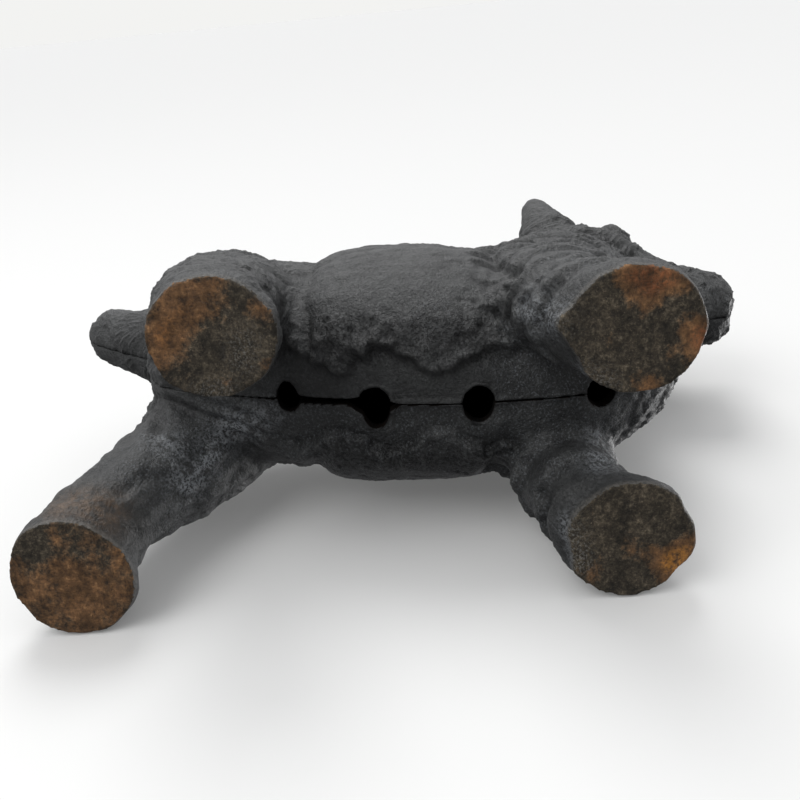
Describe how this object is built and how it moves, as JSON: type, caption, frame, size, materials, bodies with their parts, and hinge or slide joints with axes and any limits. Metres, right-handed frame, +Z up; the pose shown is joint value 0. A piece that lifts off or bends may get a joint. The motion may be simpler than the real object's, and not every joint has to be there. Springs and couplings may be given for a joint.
{
  "type": "door stop",
  "caption": "Free-standing hollow cast-iron door stop shaped as a rough-coated terrier, in two half castings joined by slotted screws.",
  "frame": {"origin": "on the ground plane under the middle of the figure", "axes": "+Z up; the dog faces -Y, so -Y is its front, +X its left side and -X its right side; the seam between the halves is the plane X = -2.24 mm"},
  "size_m": [0.1042, 0.256, 0.1986],
  "materials": {
    "painted_casting": "worn black paint over sand-cast iron, rusty bare soles",
    "screw_steel": "blackened slotted screw"
  },
  "bodies": {
    "root": {"left_half": "painted_casting", "right_half": "painted_casting", "shoulder_screw": "screw_steel", "haunch_screw": "screw_steel"}
  },
  "joints": []
}
